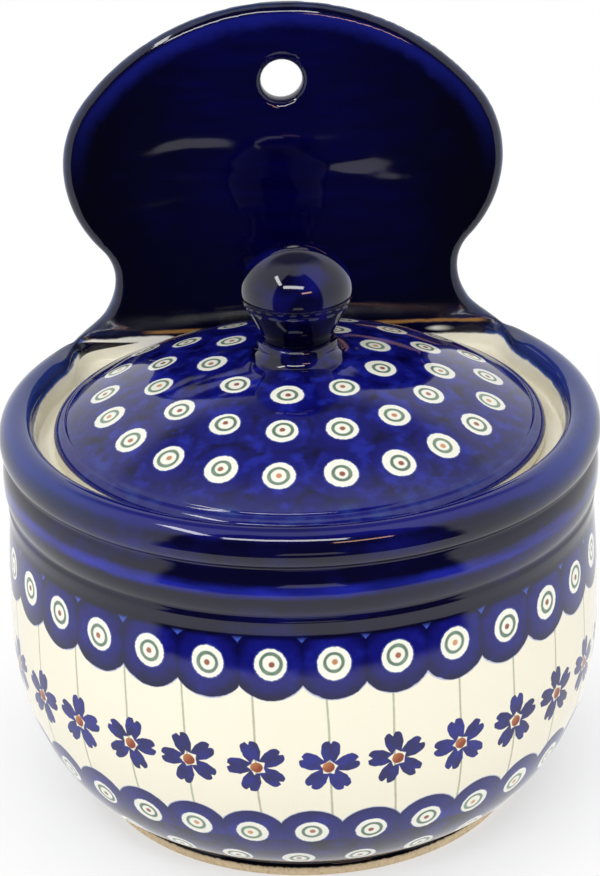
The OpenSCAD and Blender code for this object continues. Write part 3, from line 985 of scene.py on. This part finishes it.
# Plate: almost black, brushed with blue in the middle, with a glow along its crown and a thin edge
NIGHT_Z = 109.5
NIGHT_WAVY = 3.0
NIGHT_SPAN = (-1.5, 4.0)
BRUSH_STRETCH = (1, 1, 5)
BRUSH_SPAN = (-0.25, 0.45)
BRUSH_SHARE = 0.3
BRUSH_LEAST = 0.2
CENTRE_WAVY = 20.0
CENTRE_X_SPAN = (52.0, 16.0)
CENTRE_Z_SPAN = (112.0, 145.0)
CENTRE_LOW_SHARE = 0.4
GLOW_WAVY = 4.0
GLOW_SPAN = (-7.5, -3.2)
GLOW_Z_SPAN = (145.0, 190.0)
DARK_EDGE_SPAN = (-3.0, -1.8)
THIN_EDGE_WAVY = 2.0
THIN_EDGE_SPAN = (-1.4, 0.4)


def paint_plate(glaze, mottle, edge):
    """The dark hanging plate."""
    night = (glaze.z - NIGHT_Z - mottle * NIGHT_WAVY).ramp(*NIGHT_SPAN)
    brush = glaze.noise(16.0, detail=3.0, seed=19.0, stretch=BRUSH_STRETCH)
    brush = brush + glaze.noise(30.0, detail=1.0, seed=29.0)
    centre = (abs(glaze.x) + mottle * CENTRE_WAVY).ramp(*CENTRE_X_SPAN)
    centre = centre * (glaze.z.ramp(*CENTRE_Z_SPAN) * (1 - CENTRE_LOW_SHARE) + CENTRE_LOW_SHARE)
    blue = centre * (brush.ramp(*BRUSH_SPAN) * BRUSH_SHARE + BRUSH_LEAST)
    glaze.paint(glaze.mix(NIGHT, PLATE_BLUE, blue), night)
    glow = (edge + mottle * GLOW_WAVY).ramp(*GLOW_SPAN) * glaze.z.ramp(*GLOW_Z_SPAN)
    glaze.paint(BRIGHT, glow * night, share=0.4)
    glaze.paint(DEEP, edge.ramp(*DARK_EDGE_SPAN) * night)
    thin = (edge + mottle * THIN_EDGE_WAVY).ramp(*THIN_EDGE_SPAN)
    glaze.paint(THIN, thin * night, share=0.3)


# Well: cream up to a wavy level inside the rim, which stands higher at the left of the plate's foot
WELL_R = 71.8
WELL_R_OPEN = 3.4
WELL_DEPTH = 2.5
WELL_DEEP_Z = 98.0
WELL_RIM_Z = 90.0
WELL_TOP_Z = RIM_TOP - 0.6
WELL_EDGE_SOFT = 0.3
LEVEL_Z = 105.2
LEVEL_WAVY = 1.2
LEVEL_LEFT_UP = 2.0
LEVEL_RIGHT_DOWN = 0.8
LEVEL_SIDE_X = 30.0
LEVEL_SIDE_SOFT = 3.0
LEVEL_NEAR_Y = SLAB_Y - 3.0
# Front of the slab behind the lid, and how far back paint on it reaches
SLAB_FROM_Y = SLAB_Y - 1.6
SLAB_TO_Y = SLAB_Y + 0.9
THIN_LEVEL = 0.7
# Painted light: paler cream towards the rear of the seat, which faces the lamps in front
LIT_Y_SPAN = (15.0, 40.0)
LIT_Z_SPAN = (SEAT_Z, SEAT_Z + 4.0)
# Dark foot of the plate with a brown line under it
FOOT_DARK_Z = 108.8
FOOT_DARK_TOP_Z = 114.0
FOOT_DARK_HALF_W = 44.0
FOOT_DARK_SOFT = 3.0
BROWN_Z = 108.3
BROWN_HALF_W = 0.45
BROWN_LEFT_X = -38.0
BROWN_RIGHT_X = 53.0
# Dark tongue of glaze on the left of the foot and a painted highlight on its right
TONGUE_X = -41.0
TONGUE_Z = 105.4
TONGUE_SLOPE = 0.11
TONGUE_Y = SLAB_Y - 6.0
GLINT_X = 42.0
GLINT_Z = 106.0
GLINT_HALF_W = 3.5
GLINT_HALF_H = 0.7
GLINT_SPAN = (1.5, 0.4)
GLINT_X_SPAN = (46.0, 39.0)


def well_level(glaze, mottle):
    """How far a place lies above the level of the cream inside the rim."""
    near = glaze.y.above(LEVEL_NEAR_Y, soft=1.5)
    left = glaze.x.below(-LEVEL_SIDE_X, LEVEL_SIDE_SOFT) * near
    right = glaze.x.above(LEVEL_SIDE_X, LEVEL_SIDE_SOFT) * near
    level = glaze.z - LEVEL_Z - left * LEVEL_LEFT_UP + right * LEVEL_RIGHT_DOWN
    return level + mottle * LEVEL_WAVY


def paint_well(glaze, mottle, edge, speck):
    """The cream well with painted light at its rear, the slab's front where it meets the rim and the
    plate's foot, and a painted highlight.
    """
    x, y, z = glaze.x, glaze.y, glaze.z
    level = well_level(glaze, mottle)
    well_r = y.ramp(CORNER_FROM, SLAB_Y) * WELL_R_OPEN + WELL_R
    in_rim = (glaze.r - well_r).below(0.0, WELL_EDGE_SOFT)
    in_rim = in_rim * z.above(WELL_RIM_Z) * z.below(WELL_TOP_Z, soft=0.2)
    deep_well = edge.below(-WELL_DEPTH, WELL_EDGE_SOFT) * z.below(WELL_DEEP_Z)
    slab = y.above(SLAB_FROM_Y, WELL_EDGE_SOFT)
    slab_front = y.below(SLAB_TO_Y, WELL_EDGE_SOFT)
    off_slab = slab * -1.0 + 1.0
    glaze.paint(THIN, in_rim * level.below(THIN_LEVEL, THIN_LEVEL) * off_slab, share=0.9)
    glaze.paint(DEEP, in_rim * slab)
    foot_dark = z.above(FOOT_DARK_Z, WELL_EDGE_SOFT) * z.below(FOOT_DARK_TOP_Z, FOOT_DARK_SOFT)
    foot_dark = foot_dark * abs(x).below(FOOT_DARK_HALF_W, FOOT_DARK_SOFT)
    glaze.paint(NIGHT, slab * foot_dark, share=0.9)
    line = abs(z - BROWN_Z + mottle).below(BROWN_HALF_W, soft=0.3)
    line = line * x.above(BROWN_LEFT_X, soft=3.0) * x.below(BROWN_RIGHT_X, soft=2.0)
    glaze.paint(BROWN, slab * slab_front * line)
    # Painted light: cream that turns paler towards the rear of the seat
    lit_cream = glaze.mix(CREAM, LIT_CREAM, y.ramp(*LIT_Y_SPAN) * z.ramp(*LIT_Z_SPAN))
    in_well = (deep_well + in_rim).math("MINIMUM", 1.0) * slab_front
    glaze.paint(specked(glaze, lit_cream, speck), in_well * level.below(0.0, soft=0.35))
    tongue = (abs(z - TONGUE_Z) + (x - TONGUE_X) * TONGUE_SLOPE).below(0.0, soft=0.15)
    tongue = tongue * y.above(TONGUE_Y, soft=1.5) * x.below(TONGUE_X)
    glaze.paint(DEEP, in_rim * tongue)
    # Painted highlight: a pale spot on the slab at the right of the plate's foot
    glint = length((x - GLINT_X) / GLINT_HALF_W, (z - GLINT_Z) / GLINT_HALF_H).ramp(*GLINT_SPAN)
    glaze.paint(LIT_CREAM, in_rim * slab * glint * x.ramp(*GLINT_X_SPAN))


# Back: cream inside a blue border, also where the border would cross the neck
BACK_FROM_Y = BACK_Y - 1.0
BORDER_W = 4.5
BORDER_SOFT = 0.5
BORDER_WAVY = 2.0
WAIST_LOW_Z = 96.0
WAIST_HIGH_Z = 116.0
# Underside: bare clay on the foot ring and cream in the recess
CLAY_SPAN = (-0.1, 0.3)
CLAY_TOP_Z = FOOT_H + 0.1
CLAY_RAGGED = 0.5
RECESS_TOP_Z = 5.0
RECESS_R = FOOT_R - FOOT_RING_W - 1.0


def bare_foot(glaze, fine):
    """1 on the bare clay of the foot and 0 on the glaze above it."""
    return (glaze.z + fine * CLAY_RAGGED).below(CLAY_TOP_Z, soft=0.15)


def paint_back_and_foot(glaze, mottle, fine, edge, speck):
    """The cream back with its border, the bare foot ring and the recess inside it."""
    waist = (abs(glaze.x) + mottle * BORDER_WAVY).below(NECK_HALF_W - BORDER_W, BORDER_SOFT)
    waist = waist * glaze.z.above(WAIST_LOW_Z) * glaze.z.below(WAIST_HIGH_Z)
    field = (edge + mottle * BORDER_WAVY).below(-BORDER_W, BORDER_SOFT).math("MAXIMUM", waist)
    glaze.paint(specked(glaze, CREAM, speck), glaze.y.above(BACK_FROM_Y, soft=0.6) * field)
    clay = glaze.mix(CLAY, CLAY_DARK, glaze.noise(1.1, detail=3.0, seed=9.0).ramp(*CLAY_SPAN))
    glaze.paint(clay, bare_foot(glaze, fine))
    recess = glaze.z.below(RECESS_TOP_Z) * glaze.r.below(RECESS_R, soft=0.5)
    glaze.paint(specked(glaze, CREAM, speck), recess)


# Shading of the plate's hand-made face, and ripples in the glaze
SWELL_STRETCH = (1, 1, 2.5)
SWELL_H = 0.8
SWELL_Z_SPAN = (LEAN_LOW, LEAN_LOW + 30.0)
CROCK_RIPPLE_H = 0.03
# Gloss: how rough the glaze is, and how much rougher bare clay and the plate's foot are
CROCK_ROUGH = 0.055
CLAY_ROUGH = 0.6
CORNER_ROUGH = 0.22
CORNER_LOW_SPAN = (104.0, 109.0)
CORNER_HIGH_SPAN = (116.0, 111.0)
CORNER_Y = SLAB_Y - 12.0


def crock_relief(glaze):
    """Height of the glaze: the plate's lean and pool, the swell of its face, and ripples."""
    lean = (-glaze.z.math("MAXIMUM", LEAN_LOW) + PLATE_TOP) * (LEAN_SHADE_D / (PLATE_TOP - LEAN_LOW))
    pool = glaze.z.ramp(POOL_MID, LEAN_LOW) * POOL_MID_D + glaze.z.ramp(POOL_TOP, LEAN_LOW) * POOL_TOP_D
    swell = glaze.noise(34.0, detail=1.0, seed=15.0, stretch=SWELL_STRETCH) * glaze.z.ramp(*SWELL_Z_SPAN)
    ripple = glaze.noise(7.0, detail=1.0, seed=13.0) * CROCK_RIPPLE_H
    return lean + pool + swell * SWELL_H + ripple


def crock_roughness(glaze, fine):
    """Roughness of the crock: bare clay is dull, and the plate's foot a little."""
    corner = glaze.z.ramp(*CORNER_LOW_SPAN) * glaze.z.ramp(*CORNER_HIGH_SPAN)
    corner = corner * glaze.y.above(CORNER_Y, soft=4.0)
    return bare_foot(glaze, fine) * CLAY_ROUGH + corner * CORNER_ROUGH + CROCK_ROUGH


def crock_glaze():
    """The stamped pot, its cobalt collar and rim, the dark plate, the cream well and the bare foot."""
    glaze = Glaze("stamped_crock_glaze", CROCK_ROUGH)
    mottle = glaze.noise(5.0, detail=3.0, seed=11.0)
    fine = glaze.noise(1.4, seed=4.0)
    speck = specks(glaze)
    edge = glaze.attribute("edge")
    glaze.colour = specked(glaze, CREAM, speck)
    paint_flowers(glaze, fine)
    paint_upper_row(glaze, mottle, fine)
    paint_lower_rows(glaze, mottle, fine)
    paint_plate(glaze, mottle, edge)
    paint_well(glaze, mottle, edge, speck)
    paint_back_and_foot(glaze, mottle, fine, edge, speck)
    return glaze.finish(crock_relief(glaze), crock_roughness(glaze, fine))


# Lid: rings of eye dots by (radius, first angle, count, seed), each dot on a soft blue scale
LID_RINGS = ((49.8, -1.645, 21, 5.0), (36.2, -1.43, 15, 25.0), (21.6, -1.58, 9, 45.0))
LID_DOT_SHIFT = 0.8
LID_DOT_STRETCH = 1.06
LID_SCALE_R = 7.6
LID_SCALE_WAVY = 2.0
LID_SCALE_RAGGED = 0.3
LID_SCALE_SHARE = 0.9
LID_SPAN = (-0.3, 0.3)
BLOTCH_SPAN = (-0.03, 0.2)
BEAD_WAVY = 1.5
BEAD_SPAN = (LID_R - 7.0, LID_R - 2.0)
BEAD_SHARE = 0.4
LID_PATCH_SPAN = (-0.1, 0.3)
BOSS_BLUE_R = 12.5
LID_RIPPLE_H = 0.04
LID_FINE_H = 0.004
LID_ROUGH = 0.055


def lid_glaze():
    """Cobalt with three rings of eye dots on overlapping blue scales, and a paler bead."""
    glaze = Glaze("stamped_lid_glaze", LID_ROUGH)
    mottle = glaze.noise(5.0, detail=3.0, seed=31.0)
    fine = glaze.noise(1.4, seed=34.0)
    blotch = glaze.noise(5.0, detail=3.0, seed=37.0).ramp(*BLOTCH_SPAN)
    patch = mottle.ramp(*LID_PATCH_SPAN)
    glaze.colour = glaze.mix(COBALT, DEEP, mottle.ramp(*LID_SPAN))
    eyes = []
    for ring_r, start, count, seed in LID_RINGS:
        away, chances = glaze.row(start, count, seed)
        u = away * ring_r + chances[0] * LID_DOT_SHIFT
        v = (glaze.r - ring_r) * LID_DOT_STRETCH + chances[1] * LID_DOT_SHIFT
        distance = length(u, v) + fine * LID_SCALE_RAGGED
        scale = (distance + mottle * LID_SCALE_WAVY).below(LID_SCALE_R, soft=1.0)
        glaze.paint(scale_blue(glaze, distance, mottle), scale * LID_SCALE_SHARE)
        eyes.append((u, v, chances))
    glaze.paint(BRIGHT, blotch, share=0.85)
    for u, v, chances in eyes:
        draw_eye(glaze, u, v, chances)
    bead = (glaze.r + mottle * BEAD_WAVY).ramp(*BEAD_SPAN)
    glaze.paint(glaze.mix(COBALT, THIN, patch * BEAD_SHARE), bead)
    glaze.paint(glaze.mix(DEEP, COBALT, patch), glaze.r.below(BOSS_BLUE_R, soft=1.0))
    glaze.paint(CREAM, glaze.attribute("under").above(0.0, soft=0.3))
    ripple = glaze.noise(9.0, detail=1.0, seed=33.0) * LID_RIPPLE_H
    return glaze.finish(ripple + fine * LID_FINE_H)


# Knob: mottled cobalt on its cap, dark under its crease
KNOB_SPAN = (-0.42, 0.05)
KNOB_DARK_Z = KNOB_CREASE_Z - 0.5
CREASE_LINE_Z = KNOB_CREASE_Z + 0.4
KNOB_RIPPLE_H = 0.03
KNOB_ROUGH = 0.05


def knob_glaze():
    """Mottled cobalt, dark under the crease and thinner on it."""
    glaze = Glaze("cobalt_knob_glaze", KNOB_ROUGH)
    mottle = glaze.noise(9.0, seed=51.0)
    glaze.colour = glaze.mix(COBALT, DEEP, mottle.ramp(*KNOB_SPAN))
    glaze.paint(NIGHT, glaze.z.below(KNOB_DARK_Z, soft=0.8), share=0.85)
    crease = abs(glaze.z - CREASE_LINE_Z).below(0.0, soft=0.9)
    glaze.paint(COBALT, crease, share=0.5)
    return glaze.finish(glaze.noise(8.0, detail=1.0, seed=53.0) * KNOB_RIPPLE_H)


for piece, body, nodes, slot, material in (
    (crock, "crock", ("pot", "back_plate"), "stamped_glaze", crock_glaze()),
    (lid, "lid", ("lid",), "cobalt_glaze", lid_glaze()),
    (knob, "lid", ("knob",), "cobalt_glaze", knob_glaze()),
):
    piece.data.materials.append(material)
    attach(piece, body)
    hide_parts(*nodes)

# The photograph's camera: its picture in pixels, and its distance in metres from a point on the axis
IMAGE_W = 600
IMAGE_H = 876
VIEW_AZIMUTH = math.radians(-2.6)
VIEW_ELEVATION = math.radians(26.15)
VIEW_ROLL = math.radians(-1.45)
VIEW_DISTANCE = 0.8
VIEW_TARGET = Vector((0, AXIS_Y * MM, 0.08))
FOCAL_PX = 3056
CENTRE_X_PX = 301.7
CENTRE_Y_PX = 501.5
SENSOR = 36
CLIP_NEAR = 0.01
CLIP_FAR = 50


def direction(azimuth, elevation):
    """Unit vector from the pot towards an angle from its front and an angle above the floor."""
    flat = math.cos(elevation)
    return Vector((math.sin(azimuth) * flat, -math.cos(azimuth) * flat, math.sin(elevation)))


def add_camera():
    """The camera, with the picture's centre shifted to the photograph's."""
    back = direction(VIEW_AZIMUTH, VIEW_ELEVATION)
    data = bpy.data.cameras.new("camera")
    data.sensor_width = SENSOR
    data.lens = FOCAL_PX * SENSOR / IMAGE_H
    data.shift_x = (IMAGE_W / 2 - CENTRE_X_PX) / IMAGE_H
    data.shift_y = (CENTRE_Y_PX - IMAGE_H / 2) / IMAGE_H
    data.clip_start = CLIP_NEAR
    data.clip_end = CLIP_FAR
    camera = bpy.data.objects.new("camera", data)
    bpy.context.scene.collection.objects.link(camera)
    turn = (-back).to_track_quat("-Z", "Y").to_matrix() @ Matrix.Rotation(VIEW_ROLL, 3, "Z")
    camera.matrix_world = Matrix.Translation(VIEW_TARGET + back * VIEW_DISTANCE) @ turn.to_4x4()
    bpy.context.scene.camera = camera


# Colours of the lamps
PLAIN_WHITE = (1, 1, 1)
WARM_WHITE = (1.0, 0.55, 0.35)


def add_lamp(name, azimuth, elevation, width, height, power,
             colour=PLAIN_WHITE, spin=0, glossy=True, diffuse=True):
    """A soft rectangular lamp a metre from the pot, by its angles from the front and the floor."""
    data = bpy.data.lights.new(name, "AREA")
    data.shape = "RECTANGLE"
    data.size = width
    data.size_y = height
    data.energy = power
    data.color = colour
    lamp = bpy.data.objects.new(name, data)
    bpy.context.scene.collection.objects.link(lamp)
    way = direction(math.radians(azimuth), math.radians(elevation))
    lamp.location = VIEW_TARGET + way
    aim = (-way).to_track_quat("-Z", "Y").to_matrix()
    lamp.rotation_euler = (aim @ Matrix.Rotation(math.radians(spin), 3, "Z")).to_euler()
    lamp.visible_glossy = glossy
    lamp.visible_diffuse = diffuse


# The studio's floor: its side in metres, and its grey
FLOOR_SIZE = 12.0
FLOOR_GREY = (0.92, 0.92, 0.92, 1)
# What gloss sees of the floor: a white disc round the pot, a pale sheet in front and dark beyond
DISC_REACH = 250
SHEET_NEAR = 360
SHEET_FAR = 540
SHEET_SOFT = 4.0
SHEET_HALF_W = 75
# Where the shadow round the pot fades to white for the camera, and the share of white under the pot
SHADOW_SPAN = (52.0, 125.0)
SHADOW_WHITE = 0.55
# Share of a direction that points to the front, where the dark opening begins and is full
FRONT_FROM = 0.58
FRONT_FULL = 0.66
FRONT_TOP = 0.96
FRONT_DARK = 0.97
# Dim patch of the ceiling behind the pot, as shares of a direction that point back, up and aside
DIM_BACK_SPAN = (0.05, 0.35)
DIM_UP_SPAN = (0.62, 0.75)
DIM_ASIDE = 0.75
DIM_DARK = 0.78
# Light of the walls to gloss, and of the plain light on everything
WALL_LIGHT = 0.95
PLAIN_LIGHT = 0.57


def ray_kinds(tree):
    """Two numbers of a shader: 1 for the camera's own rays, and 1 for reflections."""
    path = tree.nodes.new("ShaderNodeLightPath")
    return Num(tree, path.outputs["Is Camera Ray"]), Num(tree, path.outputs["Is Glossy Ray"])


def add_floor():
    """A plain pale floor, white to the camera apart from the shadow, dark to gloss far in front."""
    mesh = bpy.data.meshes.new("floor")
    half = FLOOR_SIZE / 2
    corners = [(-half, -half, 0), (half, -half, 0), (half, half, 0), (-half, half, 0)]
    mesh.from_pydata(corners, [], [(0, 1, 2, 3)])
    floor = bpy.data.objects.new("floor", mesh)
    bpy.context.scene.collection.objects.link(floor)
    glaze = Glaze("floor", 1.0)
    tree = glaze.tree
    shader = tree.nodes.new("ShaderNodeBsdfDiffuse")
    shader.inputs["Color"].default_value = FLOOR_GREY
    glow = tree.nodes.new("ShaderNodeEmission")
    camera, gloss = ray_kinds(tree)
    sheet = glaze.y.below(-SHEET_NEAR, SHEET_SOFT) * glaze.y.above(-SHEET_FAR, SHEET_SOFT)
    sheet = sheet * abs(glaze.x).below(SHEET_HALF_W, soft=6.0)
    ahead = (-glaze.y / glaze.r).ramp(FRONT_FROM, FRONT_FULL)
    dark = glaze.r.above(DISC_REACH, soft=6.0) * ahead * (-sheet + 1.0)
    lit = gloss * (dark * -FRONT_DARK + 1.0) + camera
    tree.links.new(lit.out, glow.inputs["Strength"])
    white = glaze.r.ramp(*SHADOW_SPAN) * (1 - SHADOW_WHITE) + SHADOW_WHITE
    share = (camera * white + gloss).math("MINIMUM", 1.0)
    mix = tree.nodes.new("ShaderNodeMixShader")
    tree.links.new(share.out, mix.inputs[0])
    tree.links.new(shader.outputs[0], mix.inputs[1])
    tree.links.new(glow.outputs[0], mix.inputs[2])
    tree.links.new(mix.outputs[0], tree.nodes["Material Output"].inputs["Surface"])
    tree.nodes.remove(glaze.shader)
    mesh.materials.append(glaze.material)


def add_world():
    """White to the camera; for gloss, pale walls with a dark opening in front; plain light for the rest."""
    world = bpy.data.worlds.new("studio")
    bpy.context.scene.world = world
    world.use_nodes = True
    tree = world.node_tree
    split = tree.nodes.new("ShaderNodeSeparateXYZ")
    tree.links.new(tree.nodes.new("ShaderNodeTexCoord").outputs["Generated"], split.inputs[0])
    x, y, z = (Num(tree, out) for out in split.outputs)
    camera, gloss = ray_kinds(tree)
    flat = length(x, y)
    front = (-y / flat).ramp(FRONT_FROM, FRONT_FULL) * z.below(FRONT_TOP, soft=0.02)
    dim = y.ramp(*DIM_BACK_SPAN) * z.ramp(*DIM_UP_SPAN)
    dim = dim * (abs(x) / flat).below(DIM_ASIDE, soft=0.25)
    walls = (front * -FRONT_DARK + 1.0) * (dim * -DIM_DARK + 1.0) * WALL_LIGHT
    plain = (camera + gloss) * -1.0 + 1.0
    strength = camera + gloss * walls + plain.math("MAXIMUM", 0.0) * PLAIN_LIGHT
    background = tree.nodes["Background"]
    tree.links.new(strength.out, background.inputs["Strength"])
    background.inputs["Color"].default_value = (*PLAIN_WHITE, 1)


add_camera()
add_floor()
add_world()
add_lamp("front_strip", azimuth=-10, elevation=47, width=0.66, height=0.13, power=3.2)
add_lamp("left_strip", azimuth=-60, elevation=54, width=0.10, height=0.42, power=1.6, spin=60)
add_lamp("warm_strip", azimuth=20, elevation=30, width=0.34, height=0.07, power=0.8,
         colour=WARM_WHITE, diffuse=False)
add_lamp("left_fill", azimuth=-70, elevation=20, width=0.9, height=0.6, power=2.0, glossy=False)
add_lamp("right_fill", azimuth=65, elevation=20, width=0.9, height=0.6, power=2.8, glossy=False)
bpy.context.scene.view_settings.view_transform = "Standard"
